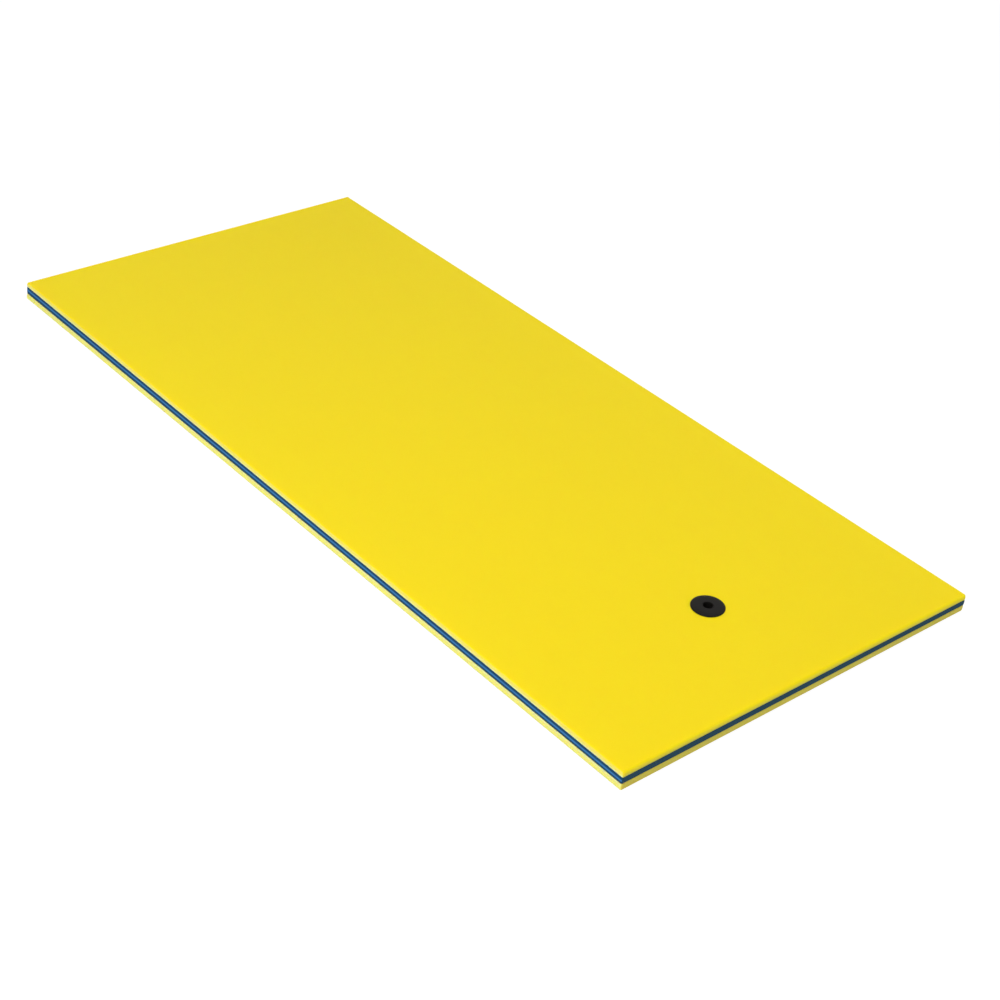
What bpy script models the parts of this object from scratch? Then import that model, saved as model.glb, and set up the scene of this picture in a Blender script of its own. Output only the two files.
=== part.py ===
"""Three-layer foam float mat with a two-part screwed tether grommet near one end.

Metres, +Z up. The origin is the centre of the mat's underside. +X runs along the
length towards the grommet, and +Y runs across the width.
"""

import math

import bmesh
import bpy
from mathutils import Matrix, Vector

# Foam slab: two yellow sheets fused to a blue one
MAT_LENGTH = 1.800
MAT_WIDTH = 0.810
TOP_SHEET = 0.0112
CORE_SHEET = 0.0120
BOTTOM_SHEET = 0.0112
BOND_GAP = 0.0003
CORNER_RADIUS = 0.003
TOP_EDGE_ROUND = 0.0022
BOTTOM_EDGE_ROUND = 0.0015
SEAM_BEVEL = 0.0006

# Grommet: where it is, and what its two halves share
GROMMET_FROM_END = 0.227
FLANGE_RADIUS = 0.030
BORE_RADIUS = 0.009
BORE_ROUND = 0.001
FIT_GAP = 0.0003

# Upper half: a crowned flange on a threaded barrel
UPPER_SINK = 0.0015
UNDERSIDE_CHAMFER = 0.0004
RIM_PROUD = 0.0003
CROWN_PROUD = 0.0024
BARREL_WALL = 0.0028
BARREL_LEAD = 0.0008

# Lower half: a flat flange with a threaded collar that stands up through the foam
LOWER_SETBACK = 0.0005
LOWER_FLANGE = 0.0030
LOWER_RIM_ROUND = 0.0012
STOP_LIP = 0.0015
COLLAR_WALL = 0.0028
COLLAR_CHAMFER = 0.0006
COLLAR_HEADROOM = 0.0007
SPANNER_SOCKET_RADIUS = 0.0025
SPANNER_SOCKET_DEPTH = 0.0015
SPANNER_SOCKETS = 4

# Screw thread between the halves
THREAD_PITCH = 0.004
THREAD_DEPTH = 0.0012
THREAD_ROOT_WIDTH = 0.0022
THREAD_CREST_WIDTH = 0.0010
THREAD_TURNS = 3.5
THREAD_CLEARANCE = 0.0003

# How far a cutter or a joined rib runs past the face that it crosses
OVERRUN = 0.0008

# Facets
ROUND_STEPS = 40
CROWN_STEPS = 7
SMALL_ROUND_STEPS = 3
EDGE_STEPS = 4
GROOVE_LEAD_STEPS = 2
CORNER_STEPS = 5
SOCKET_STEPS = 16
SMOOTH_ANGLE = math.radians(35)

# Levels and radii that follow from the sizes above
CORE_BASE = BOTTOM_SHEET + BOND_GAP
TOP_BASE = CORE_BASE + CORE_SHEET + BOND_GAP
MAT_TOP = TOP_BASE + TOP_SHEET
GROMMET_X = MAT_LENGTH / 2 - GROMMET_FROM_END

UPPER_SEAT = MAT_TOP - UPPER_SINK
UPPER_UNDERSIDE = UPPER_SEAT + FIT_GAP
RIM_TOP = MAT_TOP + RIM_PROUD
CROWN_TOP = MAT_TOP + CROWN_PROUD

LOWER_FACE = LOWER_SETBACK
LOWER_BACK = LOWER_FACE + LOWER_FLANGE
LOWER_SEAT = LOWER_BACK + FIT_GAP
LIP_TOP = LOWER_FACE + STOP_LIP
COLLAR_TOP = UPPER_UNDERSIDE - COLLAR_HEADROOM
BARREL_END = LIP_TOP + FIT_GAP

BARREL_RADIUS = BORE_RADIUS + BARREL_WALL
COLLAR_BORE = BARREL_RADIUS + THREAD_CLEARANCE
COLLAR_RADIUS = COLLAR_BORE + THREAD_DEPTH + COLLAR_WALL
HOLE_RADIUS = COLLAR_RADIUS + FIT_GAP
MOUTH_CHAMFER = THREAD_DEPTH + THREAD_CLEARANCE
HUB_RADIUS = (BORE_RADIUS + FLANGE_RADIUS) / 2
SPANNER_CIRCLE = (COLLAR_RADIUS + FLANGE_RADIUS) / 2
THREAD_FLANK = (THREAD_ROOT_WIDTH - THREAD_CREST_WIDTH) / THREAD_DEPTH
THREAD_CLIMB = THREAD_PITCH / ROUND_STEPS
THREAD_START = COLLAR_TOP - THREAD_ROOT_WIDTH / 2 - THREAD_TURNS * THREAD_PITCH
GROOVE_START = THREAD_START - GROOVE_LEAD_STEPS * THREAD_CLIMB


def clear_scene():
    for old in list(bpy.data.objects):
        bpy.data.objects.remove(old)


def principled(name, colour, roughness, metallic=0.0):
    """A Principled material with a linear RGB colour."""
    made = bpy.data.materials.new(name)
    made.use_nodes = True
    shader = made.node_tree.nodes["Principled BSDF"]
    shader.inputs["Base Color"].default_value = (*colour, 1.0)
    shader.inputs["Roughness"].default_value = roughness
    shader.inputs["Metallic"].default_value = metallic
    return made


def add_object(name, bm, finish=None):
    """Turns a bmesh into a named object, smooth on its round faces."""
    bmesh.ops.recalc_face_normals(bm, faces=bm.faces)
    mesh = bpy.data.meshes.new(name)
    bm.to_mesh(mesh)
    bm.free()
    mesh.shade_smooth()
    mesh.set_sharp_from_angle(angle=SMOOTH_ANGLE)
    made = bpy.data.objects.new(name, mesh)
    bpy.context.scene.collection.objects.link(made)
    if finish:
        mesh.materials.append(finish)
    return made


def combine(target, other, operation):
    """Cuts other from target, or joins it on, and keeps other as a hidden helper."""
    other.hide_render = True
    other.display_type = "WIRE"
    step = target.modifiers.new(other.name, "BOOLEAN")
    step.operation = operation
    step.solver = "EXACT"
    step.object = other


def arc(centre, radii, start, end, steps):
    """Points of an elliptical arc in a turned outline, as (radius, height) pairs."""
    points = []
    for step in range(steps + 1):
        angle = start + (end - start) * step / steps
        points.append((centre[0] + radii[0] * math.cos(angle), centre[1] + radii[1] * math.sin(angle)))
    return points


def turned(name, outline, finish=None, steps=ROUND_STEPS):
    """Turns a closed outline of (radius, height) pairs once round Z."""
    bm = bmesh.new()
    corners = [bm.verts.new((radius, 0, height)) for radius, height in outline]
    edges = [bm.edges.new((a, b)) for a, b in zip(corners, corners[1:] + corners[:1])]
    bmesh.ops.spin(
        bm,
        geom=corners + edges,
        axis=(0, 0, 1),
        cent=(0, 0, 0),
        angle=math.tau,
        steps=steps,
        use_merge=True,
    )
    return add_object(name, bm, finish)


def disc_cutter(name, radius, base, top, steps=ROUND_STEPS):
    """A plain cylinder on Z between two heights."""
    bm = bmesh.new()
    bmesh.ops.create_cone(
        bm,
        cap_ends=True,
        segments=steps,
        radius1=radius,
        radius2=radius,
        depth=top - base,
        matrix=Matrix.Translation((0, 0, (base + top) / 2)),
    )
    return add_object(name, bm)


def helical_rib(name, inner, outer, inner_width, outer_width, start, end):
    """A closed rib of trapezoid section that climbs one pitch a turn, by whole steps, past end.

    It is turned so that every height has the same bearing on each rib, half a step off the
    barrel's own corners.
    """
    steps = math.ceil((end - start) / THREAD_CLIMB)
    half_inner = Vector((0, 0, inner_width / 2))
    half_outer = Vector((0, 0, outer_width / 2))
    foot = Vector((inner, 0, start))
    crest = Vector((outer, 0, start))
    corners = (foot - half_inner, crest - half_outer, crest + half_outer, foot + half_inner)
    bm = bmesh.new()
    section = bm.faces.new([bm.verts.new(corner) for corner in corners])
    bmesh.ops.spin(
        bm,
        geom=[*section.verts, *section.edges, section],
        axis=(0, 0, 1),
        cent=(0, 0, 0),
        dvec=(0, 0, THREAD_CLIMB),
        angle=math.tau * steps / ROUND_STEPS,
        steps=steps,
    )
    made = add_object(name, bm)
    made.rotation_euler.z = math.tau * ((start - THREAD_START) / THREAD_PITCH + 0.5 / ROUND_STEPS)
    return made


def foam_sheet(name, base, thickness, top_round, bottom_round, finish):
    """A flat sheet with rounded plan corners, and its own round or bevel on each face's edge."""
    bm = bmesh.new()
    size = Vector((MAT_LENGTH, MAT_WIDTH, thickness))
    middle = Vector((0, 0, base + thickness / 2))
    bmesh.ops.create_cube(bm, size=1.0, matrix=Matrix.LocRotScale(middle, None, size))
    upright = [e for e in bm.edges if abs(e.verts[0].co.z - e.verts[1].co.z) > thickness / 2]
    bevel_edges(bm, upright, CORNER_RADIUS, CORNER_STEPS)
    for height, amount in ((base + thickness, top_round), (base, bottom_round)):
        rim = [e for e in bm.edges if all(abs(v.co.z - height) < BOND_GAP / 2 for v in e.verts)]
        steps = EDGE_STEPS if amount > SEAM_BEVEL else 1
        bevel_edges(bm, rim, amount, steps)
    return add_object(name, bm, finish)


def bevel_edges(bm, edges, amount, steps):
    bmesh.ops.bevel(
        bm,
        geom=edges,
        offset=amount,
        offset_type="OFFSET",
        affect="EDGES",
        segments=steps,
        profile=0.5,
        material=-1,
    )


def at_grommet(made):
    made.location.x = GROMMET_X
    return made


def upper_outline():
    """Crowned flange and barrel, from the barrel's foot, up its outside and down the bore."""
    rim = FLANGE_RADIUS
    outline = [
        (BORE_RADIUS, BARREL_END),
        (BARREL_RADIUS - BARREL_LEAD, BARREL_END),
        (BARREL_RADIUS, BARREL_END + BARREL_LEAD),
        (BARREL_RADIUS, UPPER_UNDERSIDE),
        (rim - UNDERSIDE_CHAMFER, UPPER_UNDERSIDE),
        (rim, UPPER_UNDERSIDE + UNDERSIDE_CHAMFER),
    ]
    crown = (rim - HUB_RADIUS, CROWN_TOP - RIM_TOP)
    outline += arc((HUB_RADIUS, RIM_TOP), crown, 0, math.pi / 2, CROWN_STEPS)
    mouth = (BORE_RADIUS + BORE_ROUND, CROWN_TOP - BORE_ROUND)
    outline += arc(mouth, (BORE_ROUND, BORE_ROUND), math.pi / 2, math.pi, SMALL_ROUND_STEPS)
    return outline


def lower_outline():
    """Flat flange and collar, from the mouth of the bore, out along the face and up the collar."""
    rim = FLANGE_RADIUS
    mouth = (BORE_RADIUS + BORE_ROUND, LOWER_FACE + BORE_ROUND)
    edge = (rim - LOWER_RIM_ROUND, LOWER_FACE + LOWER_RIM_ROUND)
    outline = arc(mouth, (BORE_ROUND, BORE_ROUND), math.pi, math.pi * 3 / 2, SMALL_ROUND_STEPS)
    outline += arc(edge, (LOWER_RIM_ROUND, LOWER_RIM_ROUND), -math.pi / 2, 0, SMALL_ROUND_STEPS)
    outline += [
        (rim, LOWER_BACK),
        (COLLAR_RADIUS, LOWER_BACK),
        (COLLAR_RADIUS, COLLAR_TOP - COLLAR_CHAMFER),
        (COLLAR_RADIUS - COLLAR_CHAMFER, COLLAR_TOP),
        (COLLAR_BORE + MOUTH_CHAMFER, COLLAR_TOP),
        (COLLAR_BORE, COLLAR_TOP - MOUTH_CHAMFER),
        (COLLAR_BORE, LIP_TOP),
        (BORE_RADIUS, LIP_TOP),
    ]
    return outline


def thread_rib():
    """The rib that winds up the outside of the barrel, under its flange."""
    return helical_rib(
        "thread_rib",
        BARREL_RADIUS - OVERRUN,
        BARREL_RADIUS + THREAD_DEPTH,
        THREAD_ROOT_WIDTH + THREAD_FLANK * OVERRUN,
        THREAD_CREST_WIDTH,
        THREAD_START,
        THREAD_START + THREAD_TURNS * THREAD_PITCH,
    )


def thread_groove():
    """The rib with its clearance all round, from just below the rib to past the collar's top."""
    width = THREAD_ROOT_WIDTH + THREAD_FLANK * OVERRUN + 2 * THREAD_CLEARANCE
    return helical_rib(
        "thread_groove",
        COLLAR_BORE - OVERRUN,
        COLLAR_BORE + THREAD_DEPTH,
        width,
        THREAD_CREST_WIDTH + 2 * THREAD_CLEARANCE,
        GROOVE_START,
        COLLAR_TOP + width / 2,
    )


def spanner_socket(index):
    """One blind hole in the lower flange's face, for the pins of a spanner."""
    socket = disc_cutter(
        f"spanner_socket_{index}",
        SPANNER_SOCKET_RADIUS,
        LOWER_FACE - OVERRUN,
        LOWER_FACE + SPANNER_SOCKET_DEPTH,
        SOCKET_STEPS,
    )
    angle = math.tau * (index + 0.5) / SPANNER_SOCKETS
    socket.location = (
        GROMMET_X + SPANNER_CIRCLE * math.cos(angle),
        SPANNER_CIRCLE * math.sin(angle),
        0,
    )
    return socket


def build_foam(yellow, blue):
    """The three fused sheets, with the grommet's hole through them and a seat for each flange."""
    top = foam_sheet("top_foam_sheet", TOP_BASE, TOP_SHEET, TOP_EDGE_ROUND, SEAM_BEVEL, yellow)
    core = foam_sheet("core_foam_sheet", CORE_BASE, CORE_SHEET, SEAM_BEVEL, SEAM_BEVEL, blue)
    bottom = foam_sheet("bottom_foam_sheet", 0, BOTTOM_SHEET, SEAM_BEVEL, BOTTOM_EDGE_ROUND, yellow)
    seat_radius = FLANGE_RADIUS + FIT_GAP
    hole = at_grommet(disc_cutter("hole", HOLE_RADIUS, -OVERRUN, MAT_TOP + OVERRUN))
    upper_seat = at_grommet(disc_cutter("upper_seat", seat_radius, UPPER_SEAT, MAT_TOP + OVERRUN))
    lower_seat = at_grommet(disc_cutter("lower_seat", seat_radius, -OVERRUN, LOWER_SEAT))
    for sheet in (top, core, bottom):
        combine(sheet, hole, "DIFFERENCE")
    combine(top, upper_seat, "DIFFERENCE")
    combine(bottom, lower_seat, "DIFFERENCE")


def build_grommet(black):
    """The two moulded halves, screwed together through the foam."""
    upper = at_grommet(turned("upper_grommet_flange", upper_outline(), black))
    combine(upper, at_grommet(thread_rib()), "UNION")
    lower = at_grommet(turned("lower_grommet_flange", lower_outline(), black))
    combine(lower, at_grommet(thread_groove()), "DIFFERENCE")
    for index in range(SPANNER_SOCKETS):
        combine(lower, spanner_socket(index), "DIFFERENCE")


clear_scene()
yellow_foam = principled("yellow_foam", (0.88, 0.66, 0.02), 0.55)
blue_foam = principled("blue_foam", (0.03, 0.16, 0.36), 0.6)
black_plastic = principled("black_plastic", (0.018, 0.018, 0.018), 0.45)
build_foam(yellow_foam, blue_foam)
build_grommet(black_plastic)
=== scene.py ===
"""Looks of a three-layer swim float mat of cross-linked polyethylene (XPE) foam, with a black
nylon tether grommet. Metres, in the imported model's frame: +Z up, and +X towards the grommet.
"""

import math

import bmesh
import bpy
from mathutils import Matrix, Vector, noise


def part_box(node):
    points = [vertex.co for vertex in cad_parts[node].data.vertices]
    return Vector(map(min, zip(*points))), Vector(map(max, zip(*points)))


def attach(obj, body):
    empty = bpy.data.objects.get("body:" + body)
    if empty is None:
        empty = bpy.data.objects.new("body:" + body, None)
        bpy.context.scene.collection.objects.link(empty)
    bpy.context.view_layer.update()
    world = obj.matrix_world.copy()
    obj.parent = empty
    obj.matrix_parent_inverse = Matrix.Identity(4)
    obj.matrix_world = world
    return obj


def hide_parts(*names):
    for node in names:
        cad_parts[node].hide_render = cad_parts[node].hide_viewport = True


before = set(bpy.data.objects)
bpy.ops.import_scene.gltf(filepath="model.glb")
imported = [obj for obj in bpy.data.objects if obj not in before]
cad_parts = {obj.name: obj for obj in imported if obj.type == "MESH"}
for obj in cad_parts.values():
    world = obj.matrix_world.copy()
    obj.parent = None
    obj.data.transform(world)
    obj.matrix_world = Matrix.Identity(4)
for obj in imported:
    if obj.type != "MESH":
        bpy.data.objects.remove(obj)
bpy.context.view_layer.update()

MM = 0.001

# The foam as the model gives it: where each sheet lies, and the grommet's centre
MAT_LOW, MAT_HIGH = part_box("bottom_foam_sheet")[0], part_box("top_foam_sheet")[1]
CORE_LOW, CORE_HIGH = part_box("core_foam_sheet")
FLANGE_LOW, FLANGE_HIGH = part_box("upper_grommet_flange")
LOWER_FLANGE_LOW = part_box("lower_grommet_flange")[0]
GROMMET = (FLANGE_LOW + FLANGE_HIGH) / 2
FLANGE_RADIUS = (FLANGE_HIGH.x - FLANGE_LOW.x) / 2
SEAM_LOW = (CORE_LOW.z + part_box("bottom_foam_sheet")[1].z) / 2
SEAM_HIGH = (CORE_HIGH.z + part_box("top_foam_sheet")[0].z) / 2

# Foam sheets: rounds on the plan corners and edges, and the joint lines between the sheets
CORNER_RADIUS = 2.4 * MM
SHOULDER_ROUND = 2.2 * MM
UNDERSIDE_ROUND = 1.5 * MM
SEAM_ROUND = 0.7 * MM
SEAM_LINE = 0.08 * MM
CORNER_STEPS = 6
SHOULDER_STEPS = 6
SEAM_STEPS = 3

# Meshing: points this near a cut join it, points this near in height share a level, a face whose
# normal is this upright is flat, and a sharper turn than the crease stays a sharp edge
SNAP = 0.01 * MM
SAME_LEVEL = SEAM_LINE / 2
FLAT = 0.99
CREASE = math.radians(38)

# The cut sides: they bulge between the joint lines and wander along their length
SIDE_BULGE = 0.5 * MM
SIDE_LEVEL = 1.2 * MM
SIDE_DEPTH = 12.0 * MM
WANDER = 0.25 * MM
WANDER_LENGTH = 140.0 * MM

# The cut's own errors on each side, which is its axis and the way that it faces. First, how far
# the whole side stands out at its low and its high end, as the cut strays from its line. Then the
# same for its foot alone, where the knife leans and the foam spreads under its weight. The foot
# sets in with this power of the depth.
FOOT_CURVE = 2.5
CUTS = {
    (0, -1): ((2.2 * MM, 0.0), (-4.0 * MM, 0.5 * MM)),
    (0, 1): ((-0.2 * MM, 2.2 * MM), (1.1 * MM, -1.6 * MM)),
    (1, -1): ((0.0, 0.0), (4.0 * MM, 1.2 * MM)),
    (1, 1): ((-1.0 * MM, 0.8 * MM), (2.0 * MM, 0.5 * MM)),
}

# The hot wire melts back the top edge of the two ends
EASE = 1.8 * MM
EASE_DEPTH = 11.0 * MM

# How far the joint lines stray in height, since calendered sheets vary in thickness. The mat's
# corners are in the order (-X, -Y), (+X, -Y), (-X, +Y), (+X, +Y).
SEAM_HIGH_STRAY = (1.2 * MM, 0.8 * MM, -0.3 * MM, 1.3 * MM)
SEAM_LOW_STRAY = (-1.2 * MM, 0.7 * MM, -0.6 * MM, 1.5 * MM)
NO_STRAY = (0.0, 0.0, 0.0, 0.0)

# Skin: slow swells of the top face, and the dip where the tight flange presses the foam, in a
# finer square patch
FACE_CELL = 12.0 * MM
SWELL = 0.16 * MM
SWELL_LENGTH = 150.0 * MM
SWELL_SEED = 3.0
PATCH = 120.0 * MM
PATCH_STEPS = 24
DIP = 0.7 * MM
DIP_WIDTH = 5.0 * MM
DIP_RING = 48.0 * MM
DIP_RINGS = (42 * MM, 38 * MM, 35 * MM, 33 * MM, 31.5 * MM)

# The grommet's seats in the foam
SEAT_FIT = 0.3 * MM
SEAT_SINK = 1.5 * MM
SEAT_LIP = 0.25 * MM
HOLE_RADIUS = 16.4 * MM
LOWER_FLANGE = 3.0 * MM

# Colours of the cut sides change with height. Each pair is where a change starts and is full.
TOP_EDGE_BAND = (MAT_HIGH.z - 7.0 * MM, MAT_HIGH.z + 2.5 * MM)
END_TOP_LIGHT = (MAT_HIGH.z - 11.0 * MM, MAT_HIGH.z - 1.0 * MM)
PALE_ABOVE = (SEAM_HIGH + 5.5 * MM, SEAM_HIGH + 1.5 * MM)
PALE_BELOW = (SEAM_LOW - 3.5 * MM, SEAM_LOW - 1.0 * MM)
BRIGHT_FROM_LOW = (CORE_LOW.z + 4.3 * MM, CORE_LOW.z + 6.3 * MM)
BRIGHT_FROM_HIGH = (CORE_HIGH.z - 2.4 * MM, CORE_HIGH.z - 4.6 * MM)
BAND_WAVER = 1.0 * MM
BAND_WAVE = 20.0 * MM

# Sizes of the surfaces' patterns
CELL = 0.8 * MM
CELL_DEPTH = 0.15 * MM
CELL_CLUSTER = 3.0 * MM
STREAK = 1.4 * MM
STREAK_STRETCH = 25
SKIN_MOTTLE = 60.0 * MM
SKIN_PEBBLE = 1.6 * MM
PEBBLE_DEPTH = 0.05 * MM
SPARK_GRAIN = 0.6 * MM
GRAIN_DEPTH = 0.04 * MM
NYLON_BLOOM = 14.0 * MM

# Camera, solved from the mat's corners and edges
CAMERA_PLACE = Vector((2.4149, -2.1374, 2.0350))
CAMERA_TARGET = Vector((0.2369, -0.0928, 0.035))
CAMERA_ROLL = math.radians(5.92)
CAMERA_LENS = 72.42

# Light: each lamp's middle, the point that it faces, its size and its power, and the sky's level
KEY_PLACE = Vector((0.4, -3.0, 2.2))
KEY_TARGET = Vector((0.0, 0.0, 0.0))
KEY_SIZE = 3.0
KEY_POWER = 60.0
TOP_PLACE = Vector((1.1, 0.0, 3.4))
TOP_TARGET = Vector((0.3, 0.0, 0.0))
TOP_SIZE = 3.0
TOP_POWER = 38.0
SKY_LEVEL = 0.53

# Floor: it glows just short of white, and the rest is light that the mat can shade
FLOOR_SIZE = 60.0
FLOOR_DROP = 0.05 * MM
FLOOR_GLOW = 0.88
FLOOR_SHADE = 0.20


def linear(hex_colour):
    """An sRGB hex colour as linear RGB with alpha 1."""
    parts = [int(hex_colour[i:i + 2], 16) / 255 for i in (1, 3, 5)]
    return (*(c / 12.92 if c <= 0.04045 else ((c + 0.055) / 1.055) ** 2.4 for c in parts), 1.0)


def fill(tree, node, inputs):
    """Gives a node's inputs their values, or links other nodes' outputs into them."""
    for name, value in inputs.items():
        if isinstance(value, bpy.types.NodeSocket):
            tree.links.new(value, node.inputs[name])
        else:
            node.inputs[name].default_value = value


def add(tree, kind, inputs, **settings):
    """Adds a shader node with its settings and links, and returns its outputs.

    Inputs go by name, or by number where names are long or repeat. In a Mix, 0 is the share, 2 and
    3 are the numbers, 6 and 7 the colours, and output 2 is the mixed colour. In a MapRange, 0 is
    the value, 1 and 2 are its start and end, and 3 and 4 what these give.
    """
    made = tree.nodes.new("ShaderNode" + kind)
    for name, value in settings.items():
        setattr(made, name, value)
    fill(tree, made, inputs)
    return made.outputs


def new_material(name):
    """A named material, its node tree and its Principled shader."""
    made = bpy.data.materials.new(name)
    made.use_nodes = True
    return made, made.node_tree, made.node_tree.nodes["Principled BSDF"]


# Materials


def cut_marks(tree, place):
    """Light and dark of a cut foam side, from 0 to 1: clusters of cells, and the knife's streaks.

    Cells are 0.8 mm across, too fine to show, so clusters of 3 mm carry their light and dark.
    """
    clusters = add(tree, "TexVoronoi", {"Vector": place, "Scale": 1 / CELL_CLUSTER})
    squeeze = (1 / STREAK_STRETCH, 1 / STREAK_STRETCH, 1.0)
    along = add(tree, "Mapping", {"Vector": place, "Scale": squeeze})
    streaks = add(tree, "TexNoise", {"Vector": along[0], "Scale": 1 / STREAK, "Detail": 3.0})
    mixed = add(tree, "Mix", {0: 0.5, 2: clusters["Distance"], 3: streaks[0]}, data_type="FLOAT")
    return mixed[0]


def end_shade_share(tree):
    """1 on the two short ends, and 0 on the long sides.

    The ends are painted darker than the long sides, a painted shade.
    """
    normal = add(tree, "SeparateXYZ", {0: add(tree, "TexCoord", {})["Normal"]})
    across = add(tree, "Math", {0: normal["X"]}, operation="ABSOLUTE")
    along = add(tree, "Math", {0: normal["Y"]}, operation="ABSOLUTE")
    more = add(tree, "Math", {0: across[0], 1: along[0]}, operation="SUBTRACT")
    return add(tree, "MapRange", {0: more[0], 1: -0.3, 2: 0.3}, interpolation_type="SMOOTHSTEP")[0]


def yellow_xpe():
    """Cross-linked polyethylene foam with its calendered skin, and cut sides.

    The skin comes smooth and satin off the rolls, in the full yellow. The band knife opens the
    cells of the long sides, so these are rougher, finely pitted and paler, partly by a painted
    sheen.
    """
    made, tree, shader = new_material("xpe_foam_yellow_skinned")
    place = add(tree, "TexCoord", {})["Object"]
    height = add(tree, "SeparateXYZ", {0: place})["Z"]

    # The skin lies on the faces, and its smooth finish runs down the cut sides into a band below
    # the top edge, to a level that wavers by half a millimetre either way.
    upright = add(tree, "SeparateXYZ", {0: add(tree, "TexCoord", {})["Normal"]})["Z"]
    facing = add(tree, "Math", {0: upright}, operation="ABSOLUTE")
    face = add(tree, "MapRange", {0: facing[0], 1: 0.5, 2: 0.95}, interpolation_type="SMOOTHSTEP")
    waver = add(tree, "TexNoise", {"Vector": place, "Scale": 1 / BAND_WAVE, "Detail": 2.0})
    level = add(tree, "Math", {0: waver[0], 1: BAND_WAVER, 2: height}, operation="MULTIPLY_ADD")[0]
    top_edge_band = add(tree, "MapRange", {0: level, 1: TOP_EDGE_BAND[0], 2: TOP_EDGE_BAND[1]})
    skin = add(tree, "Math", {0: face[0], 1: top_edge_band[0]}, operation="MAXIMUM")[0]

    # Mottling of the skin: the dye spreads in patches, by about 1 %
    patches = add(tree, "TexNoise", {"Vector": place, "Scale": 1 / SKIN_MOTTLE, "Detail": 4.0})
    dyes = {0: patches[0], 6: linear("#F3D70A"), 7: linear("#F5D908")}
    skin_colour = add(tree, "Mix", dyes, data_type="RGBA")[2]

    # Beside the fused lines the long sides are drawn paler still, for 2 to 4 mm
    from_high = {0: height, 1: PALE_ABOVE[0], 2: PALE_ABOVE[1]}
    from_low = {0: height, 1: PALE_BELOW[0], 2: PALE_BELOW[1]}
    near_high = add(tree, "MapRange", from_high, interpolation_type="SMOOTHSTEP")
    near_low = add(tree, "MapRange", from_low, interpolation_type="SMOOTHSTEP")
    near = add(tree, "Math", {0: near_high[0], 1: near_low[0]}, operation="MULTIPLY")
    marks = cut_marks(tree, place)
    # The long sides' pale cut colour is partly the cells' own and partly a painted sheen
    shades = {0: marks, 6: linear("#F9EF88"), 7: linear("#EFE26C")}
    open_sheen_colour = add(tree, "Mix", shades, data_type="RGBA")
    pale_fringe = {0: near[0], 6: open_sheen_colour[2], 7: linear("#F5F1A2")}
    long_cut = add(tree, "Mix", pale_fringe, data_type="RGBA")
    # Along the top edge the long sides are painted darker, a painted shade that tones down the
    # edge's highlight
    long_side = {0: top_edge_band[0], 6: long_cut[2], 7: linear("#DDC22C")}
    long_colour = add(tree, "Mix", long_side, data_type="RGBA")

    # Towards the top edge the two ends are painted brighter, up to the skin's yellow: a painted
    # light on their upper part
    end_top_light = add(tree, "MapRange", {0: level, 1: END_TOP_LIGHT[0], 2: END_TOP_LIGHT[1]})
    # The ends' darker yellow is a painted shade
    shaded_end = {0: marks, 6: linear("#DFCF60"), 7: linear("#D0C04E")}
    end_cut = add(tree, "Mix", shaded_end, data_type="RGBA")
    end_side = {0: end_top_light[0], 6: end_cut[2], 7: linear("#F8E018")}
    end_colour = add(tree, "Mix", end_side, data_type="RGBA")
    sides = {0: end_shade_share(tree), 6: long_colour[2], 7: end_colour[2]}
    side = add(tree, "Mix", sides, data_type="RGBA")
    colour = add(tree, "Mix", {0: face[0], 6: side[2], 7: skin_colour}, data_type="RGBA")

    # Open cells pit the cut sides, and the skin has a fine pebble from the rolls
    cells = add(tree, "TexVoronoi", {"Vector": place, "Scale": 1 / CELL})
    cut = add(tree, "Math", {0: 1.0, 1: skin}, operation="SUBTRACT")
    pits = {"Height": cells["Distance"], "Distance": CELL_DEPTH, "Strength": cut[0]}
    pitted = add(tree, "Bump", pits)[0]
    pebble = add(tree, "TexNoise", {"Vector": place, "Scale": 1 / SKIN_PEBBLE, "Detail": 3.0})
    pebbles = {"Height": pebble[0], "Distance": PEBBLE_DEPTH, "Strength": skin, "Normal": pitted}
    rough = add(tree, "MapRange", {0: skin, 3: 0.85, 4: 0.55})
    fill(tree, shader, {
        "Base Color": colour[2], "Roughness": rough[0], "Normal": add(tree, "Bump", pebbles)[0],
        "IOR": 1.49, "Specular IOR Level": 0.1,
        # Light wanders a few millimetres through the bubbles, which softens the edges' shading
        "Subsurface Weight": 1.0, "Subsurface Radius": (1.0, 0.85, 0.3), "Subsurface Scale": 9 * MM,
    })
    return made


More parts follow.
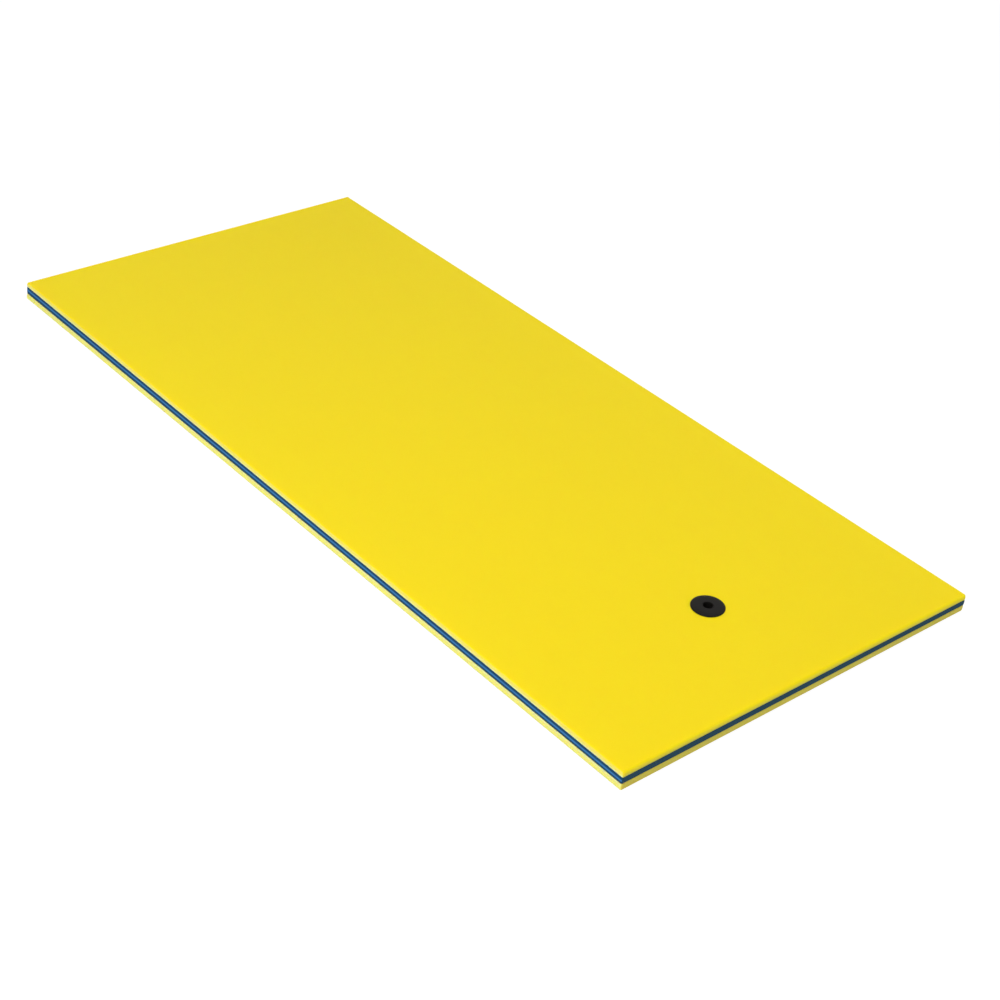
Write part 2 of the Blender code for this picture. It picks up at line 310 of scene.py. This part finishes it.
def blue_xpe():
    """The same foam in blue, cut with a knife: matte open cells, denser and darker at its skins.
    Its bright middle is partly a painted highlight.
    """
    made, tree, shader = new_material("xpe_foam_blue_cut")
    place = add(tree, "TexCoord", {})["Object"]
    height = add(tree, "SeparateXYZ", {0: place})["Z"]

    # Beside the yellow sheets the fused skins are dense and darker. Between them the middle is
    # painted much brighter, partly the open cells' own colour and partly a painted highlight
    from_low = {0: height, 1: BRIGHT_FROM_LOW[0], 2: BRIGHT_FROM_LOW[1]}
    from_high = {0: height, 1: BRIGHT_FROM_HIGH[0], 2: BRIGHT_FROM_HIGH[1]}
    past_low = add(tree, "MapRange", from_low, interpolation_type="SMOOTHSTEP")
    past_high = add(tree, "MapRange", from_high, interpolation_type="SMOOTHSTEP")
    middle = add(tree, "Math", {0: past_low[0], 1: past_high[0]}, operation="MULTIPLY")
    marks = cut_marks(tree, place)
    dense = {0: marks, 6: linear("#17496A"), 7: linear("#0F3B58")}
    open_highlit = {0: marks, 6: linear("#3F7FC1"), 7: linear("#2F6CA9")}
    # The ends' darker blue, without the bright middle, is a painted shade
    shaded_end = {0: marks, 6: linear("#264C60"), 7: linear("#1A3B4D")}
    dense_colour = add(tree, "Mix", dense, data_type="RGBA")
    open_sheen_colour = add(tree, "Mix", open_highlit, data_type="RGBA")
    end_colour = add(tree, "Mix", shaded_end, data_type="RGBA")
    striped = {0: middle[0], 6: dense_colour[2], 7: open_sheen_colour[2]}
    long_colour = add(tree, "Mix", striped, data_type="RGBA")
    sides = {0: end_shade_share(tree), 6: long_colour[2], 7: end_colour[2]}
    cells = add(tree, "TexVoronoi", {"Vector": place, "Scale": 1 / CELL})
    pits = {"Height": cells["Distance"], "Distance": CELL_DEPTH, "Strength": 0.7}
    fill(tree, shader, {
        "Base Color": add(tree, "Mix", sides, data_type="RGBA")[2], "Roughness": 0.82,
        "Normal": add(tree, "Bump", pits)[0], "IOR": 1.49, "Specular IOR Level": 0.15,
    })
    return made


def black_nylon():
    """Injection-moulded nylon 66, carbon black.

    The spark-eroded mould gives it a satin face with a fine grain of 0.3 mm, drawn at 0.6 mm.
    """
    made, tree, shader = new_material("nylon_black_moulded")
    place = add(tree, "TexCoord", {})["Object"]
    grain = add(tree, "TexNoise", {"Vector": place, "Scale": 1 / SPARK_GRAIN, "Detail": 2.0})
    bloom = add(tree, "TexNoise", {"Vector": place, "Scale": 1 / NYLON_BLOOM, "Detail": 3.0})
    shades = {0: bloom[0], 6: linear("#12100E"), 7: linear("#181614")}
    relief = {"Height": grain[0], "Distance": GRAIN_DEPTH, "Strength": 0.6}
    fill(tree, shader, {
        "Base Color": add(tree, "Mix", shades, data_type="RGBA")[2],
        "Roughness": add(tree, "MapRange", {0: bloom[0], 3: 0.45, 4: 0.58})[0],
        "Normal": add(tree, "Bump", relief)[0], "IOR": 1.53, "Specular IOR Level": 0.085,
    })
    return made


# Foam sheets


def finish_piece(name, bm, material, node):
    """Makes the mesh a smooth-shaded piece that rides on the body and stands for its node."""
    bmesh.ops.recalc_face_normals(bm, faces=bm.faces)
    mesh = bpy.data.meshes.new(name)
    bm.to_mesh(mesh)
    bm.free()
    mesh.shade_smooth()
    mesh.set_sharp_from_angle(angle=CREASE)
    mesh.materials.append(material)
    made = bpy.data.objects.new(name, mesh)
    bpy.context.scene.collection.objects.link(made)
    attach(made, "root")
    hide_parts(node)
    return made


def bevel(bm, edges, amount, steps):
    """Rounds the edges off, by an amount on each side and in so many steps."""
    bmesh.ops.bevel(
        bm, geom=edges, offset=amount, offset_type="OFFSET", affect="EDGES", segments=steps,
        profile=0.5, material=-1,
    )


def slice_at(bm, axis, places):
    """Cuts the mesh by planes square to an axis."""
    normal = Vector((axis == 0, axis == 1, axis == 2))
    for place in places:
        bmesh.ops.bisect_plane(
            bm, geom=[*bm.verts, *bm.edges, *bm.faces], plane_co=normal * place, plane_no=normal,
            dist=SNAP,
        )


def even(low, high, step):
    """Evenly spaced places from low to high, both included, no further apart than step."""
    count = max(1, math.ceil((high - low) / step - 0.001))
    return [low + (high - low) * i / count for i in range(count + 1)]


def sheet_body(low, high, low_round, high_round):
    """A slab with rounded plan corners, a round on each face's edge, and sides cut in levels."""
    bm = bmesh.new()
    size = Vector((MAT_HIGH.x - MAT_LOW.x, MAT_HIGH.y - MAT_LOW.y, high - low))
    middle = Vector((0, 0, (low + high) / 2))
    bmesh.ops.create_cube(bm, size=1.0, matrix=Matrix.LocRotScale(middle, None, size))
    upright = [e for e in bm.edges if abs(e.verts[0].co.z - e.verts[1].co.z) > size.z / 2]
    bevel(bm, upright, CORNER_RADIUS, CORNER_STEPS)
    for height, amount in ((high, high_round), (low, low_round)):
        rim = [e for e in bm.edges if all(abs(v.co.z - height) < SAME_LEVEL for v in e.verts)]
        bevel(bm, rim, amount, SEAM_STEPS if amount == SEAM_ROUND else SHOULDER_STEPS)
    slice_at(bm, 2, even(low + low_round, high - high_round, SIDE_LEVEL)[1:-1])
    return bm


def open_face(bm, height):
    """Takes the patch round the grommet out of the flat face at a height, and returns its edges."""
    def within(middle):
        reach = max(abs(middle.x - GROMMET.x), abs(middle.y - GROMMET.y))
        return reach < PATCH / 2 and abs(middle.z - height) < SAME_LEVEL

    faces = [f for f in bm.faces if abs(f.normal.z) > FLAT and within(f.calc_center_median())]
    bmesh.ops.delete(bm, geom=faces, context="FACES")
    return [e for e in bm.edges if e.is_boundary and abs(e.verts[0].co.z - height) < SAME_LEVEL]


def square_turn(across, along):
    """The angle that spreads evenly spaced points of a square's sides evenly round a circle."""
    if abs(across) >= abs(along):
        return math.pi / 4 * along / across + (math.pi if across < 0 else 0)
    return math.pi / 2 - math.pi / 4 * across / along + (math.pi if along < 0 else 0)


def carry_in(bm, square, rings):
    """Carries a square opening inwards over round rings, each a (radius, height), and returns the
    last one's edges."""
    loop = square
    for index, (radius, height) in enumerate(rings):
        grown = bmesh.ops.extrude_edge_only(bm, edges=loop)["geom"]
        for v in (g for g in grown if isinstance(g, bmesh.types.BMVert)):
            across, along = v.co.x - GROMMET.x, v.co.y - GROMMET.y
            turn = math.atan2(along, across) if index else square_turn(across, along)
            v.co.x = GROMMET.x + radius * math.cos(turn)
            v.co.y = GROMMET.y + radius * math.sin(turn)
            v.co.z = height
        loop = [g for g in grown if isinstance(g, bmesh.types.BMEdge) and g.is_boundary]
    return loop


def stray_at(stray, place):
    """A joint line's stray in height, read between its values at the mat's four corners."""
    across = (place.x - MAT_LOW.x) / (MAT_HIGH.x - MAT_LOW.x)
    along = (place.y - MAT_LOW.y) / (MAT_HIGH.y - MAT_LOW.y)
    near = stray[0] + (stray[1] - stray[0]) * across
    far = stray[2] + (stray[3] - stray[2]) * across
    return near + (far - near) * along


def side_move(place, share, low):
    """How far the cut sides carry a point outwards: bulge, stray, eased edge, foot and wander."""
    move = Vector((0, 0, 0))
    bulge = SIDE_BULGE * (1 - (2 * share - 1) ** 2)
    depth_down = (MAT_HIGH.z - place.z) / (MAT_HIGH.z - MAT_LOW.z)
    above = max(0.0, 1 - (MAT_HIGH.z - place.z) / EASE_DEPTH)
    for (axis, way), (stray, foot) in CUTS.items():
        wall = MAT_HIGH[axis] if way > 0 else MAT_LOW[axis]
        depth = abs(place[axis] - wall)
        if depth > SIDE_DEPTH:
            continue
        other = 1 - axis
        along = (place[other] - MAT_LOW[other]) / (MAT_HIGH[other] - MAT_LOW[other])
        out = bulge + stray[0] + (stray[1] - stray[0]) * along
        out += (foot[0] + (foot[1] - foot[0]) * along) * max(0.0, depth_down) ** FOOT_CURVE
        if axis == 0:
            out -= EASE * above ** 2
        # The second and third numbers give each side and each sheet a wander of its own
        ripple = Vector((place[other] / WANDER_LENGTH, 7 * way + axis, low / MM))
        hold = (1 - depth / SIDE_DEPTH) ** 2
        move[axis] += way * hold * (out + WANDER * noise.noise(ripple))
    return move


def settle(bm, low, high, low_stray, high_stray):
    """Moves the sheet's points by the small unevenness of its sides, faces and joint lines."""
    for v in bm.verts:
        place = v.co.copy()
        share = (place.z - low) / (high - low)
        move = side_move(place, share, low)
        move.z += stray_at(low_stray, place) * (1 - share) + stray_at(high_stray, place) * share
        radius = math.hypot(place.x - GROMMET.x, place.y - GROMMET.y)
        if high == MAT_HIGH.z and share > 0.5 and radius > DIP_RING:
            spot = Vector((place.x / SWELL_LENGTH, place.y / SWELL_LENGTH, SWELL_SEED))
            swell = noise.noise(spot)
            move.z += SWELL * (swell - 0.5) * min(1.0, (radius - DIP_RING) / DIP_RING)
        v.co += move


def foam_sheet(name, node, span, rounds, wells, strays, material):
    """One foam sheet with the grommet's hole through it, packed tight between its neighbours.

    Each pair is for the sheet's lower and upper face: its heights, edge rounds and joint strays,
    and the wells, which are the (radius, height) rings from that face to the hole's wall.
    """
    bm = sheet_body(*span, *rounds)
    near, far = GROMMET.x - PATCH / 2, GROMMET.x + PATCH / 2
    step = PATCH / PATCH_STEPS
    slice_at(bm, 0, even(MAT_LOW.x + 2 * CORNER_RADIUS, near, FACE_CELL)[:-1])
    slice_at(bm, 0, even(near, far, step))
    slice_at(bm, 0, even(far, MAT_HIGH.x - 2 * CORNER_RADIUS, FACE_CELL)[1:])
    slice_at(bm, 1, even(MAT_LOW.y + 2 * CORNER_RADIUS, -PATCH / 2, FACE_CELL)[:-1])
    slice_at(bm, 1, even(-PATCH / 2, PATCH / 2, step))
    slice_at(bm, 1, even(PATCH / 2, MAT_HIGH.y - 2 * CORNER_RADIUS, FACE_CELL)[1:])
    rims = [carry_in(bm, open_face(bm, height), rings) for height, rings in zip(span, wells)]
    bmesh.ops.bridge_loops(bm, edges=rims[0] + rims[1])
    settle(bm, *span, *strays)
    made = finish_piece(name, bm, material, node)


def dip_rings(face, way):
    """Rings over the dip round the flange, from a flat face to the seat's lip. The way is the side
    that the face looks to, 1 for up."""
    rings = [(DIP_RING, face)]
    for radius in (*DIP_RINGS, FLANGE_RADIUS + SEAT_FIT + SEAT_LIP):
        rings.append((radius, face - way * DIP * math.exp((FLANGE_RADIUS - radius) / DIP_WIDTH)))
    return rings + [(FLANGE_RADIUS + SEAT_FIT, rings[-1][1] - way * SEAT_LIP)]


def foam_sheets():
    """The yellow, blue and yellow sheets, which meet at fine fused lines."""
    yellow, blue = yellow_xpe(), blue_xpe()
    seat = FLANGE_RADIUS + SEAT_FIT
    seat_high = MAT_HIGH.z - SEAT_SINK
    seat_low = LOWER_FLANGE_LOW.z + LOWER_FLANGE + SEAT_FIT
    top_well = dip_rings(MAT_HIGH.z, 1) + [(seat, seat_high), (HOLE_RADIUS, seat_high)]
    low_well = dip_rings(MAT_LOW.z, -1) + [(seat, seat_low), (HOLE_RADIUS, seat_low)]

    half_line = SEAM_LINE / 2
    top_span = (SEAM_HIGH + half_line, MAT_HIGH.z)
    core_span = (SEAM_LOW + half_line, SEAM_HIGH - half_line)
    bottom_span = (MAT_LOW.z, SEAM_LOW - half_line)
    top_wells = ([(DIP_RING, top_span[0]), (HOLE_RADIUS, top_span[0])], top_well)
    core_wells = [[(DIP_RING, height), (HOLE_RADIUS, height)] for height in core_span]
    bottom_wells = (low_well, [(DIP_RING, bottom_span[1]), (HOLE_RADIUS, bottom_span[1])])
    foam_sheet(
        "yellow_top_sheet", "top_foam_sheet", top_span, (SEAM_ROUND, SHOULDER_ROUND), top_wells,
        (SEAM_HIGH_STRAY, NO_STRAY), yellow,
    )
    foam_sheet(
        "blue_core_sheet", "core_foam_sheet", core_span, (SEAM_ROUND, SEAM_ROUND), core_wells,
        (SEAM_LOW_STRAY, SEAM_HIGH_STRAY), blue,
    )
    foam_sheet(
        "yellow_bottom_sheet", "bottom_foam_sheet", bottom_span, (UNDERSIDE_ROUND, SEAM_ROUND),
        bottom_wells, (NO_STRAY, SEAM_LOW_STRAY), yellow,
    )


def grommet_finish():
    """Both halves of the grommet keep the model's shape, and get their moulded nylon."""
    nylon = black_nylon()
    for half in ("upper_grommet_flange", "lower_grommet_flange"):
        for face_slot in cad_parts[half].material_slots:
            face_slot.material = nylon


# Camera, light and floor


def area_light(name, place, target, size, power):
    """A round soft lamp that faces its target."""
    lamp = bpy.data.lights.new(name, "AREA")
    lamp.shape = "DISK"
    lamp.size = size
    lamp.energy = power
    made = bpy.data.objects.new(name, lamp)
    made.location = place
    made.rotation_euler = (target - place).to_track_quat("-Z", "Y").to_euler()
    bpy.context.scene.collection.objects.link(made)


def camera():
    """The camera at the photograph's place, slightly rolled."""
    lens = bpy.data.cameras.new("camera")
    lens.sensor_width = 36.0
    lens.lens = CAMERA_LENS
    lens.clip_end = 100.0
    made = bpy.data.objects.new("camera", lens)
    aim = (CAMERA_TARGET - CAMERA_PLACE).to_track_quat("-Z", "Y")
    made.rotation_mode = "QUATERNION"
    made.rotation_quaternion = aim @ Matrix.Rotation(CAMERA_ROLL, 3, "Z").to_quaternion()
    made.location = CAMERA_PLACE
    bpy.context.scene.collection.objects.link(made)
    bpy.context.scene.camera = made


def seen_directly(tree):
    """1 for rays from the camera, and for mirrored and refracted ones."""
    path = add(tree, "LightPath", {})
    rays = {0: path["Is Camera Ray"], 1: path["Is Glossy Ray"]}
    seen = add(tree, "Math", rays, operation="MAXIMUM")
    return add(tree, "Math", {0: seen[0], 1: path["Is Transmission Ray"]}, operation="MAXIMUM")[0]


def white_floor():
    """A matt white floor that looks white to the camera and keeps a soft shadow."""
    made, tree, shader = new_material("floor_white_paper")
    tree.nodes.remove(shader)
    plain = add(tree, "BsdfDiffuse", {"Color": linear("#F0F0F0")})
    shade = add(tree, "BsdfDiffuse", {"Color": (FLOOR_SHADE, FLOOR_SHADE, FLOOR_SHADE, 1.0)})
    glow = add(tree, "Emission", {"Strength": FLOOR_GLOW})
    shown = add(tree, "AddShader", {0: shade[0], 1: glow[0]})
    mixed = add(tree, "MixShader", {0: seen_directly(tree), 1: plain[0], 2: shown[0]})
    fill(tree, tree.nodes["Material Output"], {"Surface": mixed[0]})
    bm = bmesh.new()
    bmesh.ops.create_grid(bm, x_segments=1, y_segments=1, size=FLOOR_SIZE / 2)
    mesh = bpy.data.meshes.new("floor")
    bm.to_mesh(mesh)
    bm.free()
    mesh.materials.append(made)
    floor = bpy.data.objects.new("floor", mesh)
    floor.location.z = MAT_LOW.z - FLOOR_DROP
    bpy.context.scene.collection.objects.link(floor)


def sky():
    """Even white sky: white where it is seen, and at its own level where it lights."""
    world = bpy.data.worlds.new("sky")
    world.use_nodes = True
    bpy.context.scene.world = world
    tree = world.node_tree
    level = add(tree, "MapRange", {0: seen_directly(tree), 3: SKY_LEVEL, 4: 1.0})
    fill(tree, tree.nodes["Background"], {"Color": (1.0, 1.0, 1.0, 1.0), "Strength": level[0]})


foam_sheets()
grommet_finish()
camera()
white_floor()
sky()
area_light("key", KEY_PLACE, KEY_TARGET, KEY_SIZE, KEY_POWER)
area_light("overhead", TOP_PLACE, TOP_TARGET, TOP_SIZE, TOP_POWER)
bpy.context.scene.view_settings.view_transform = "Standard"
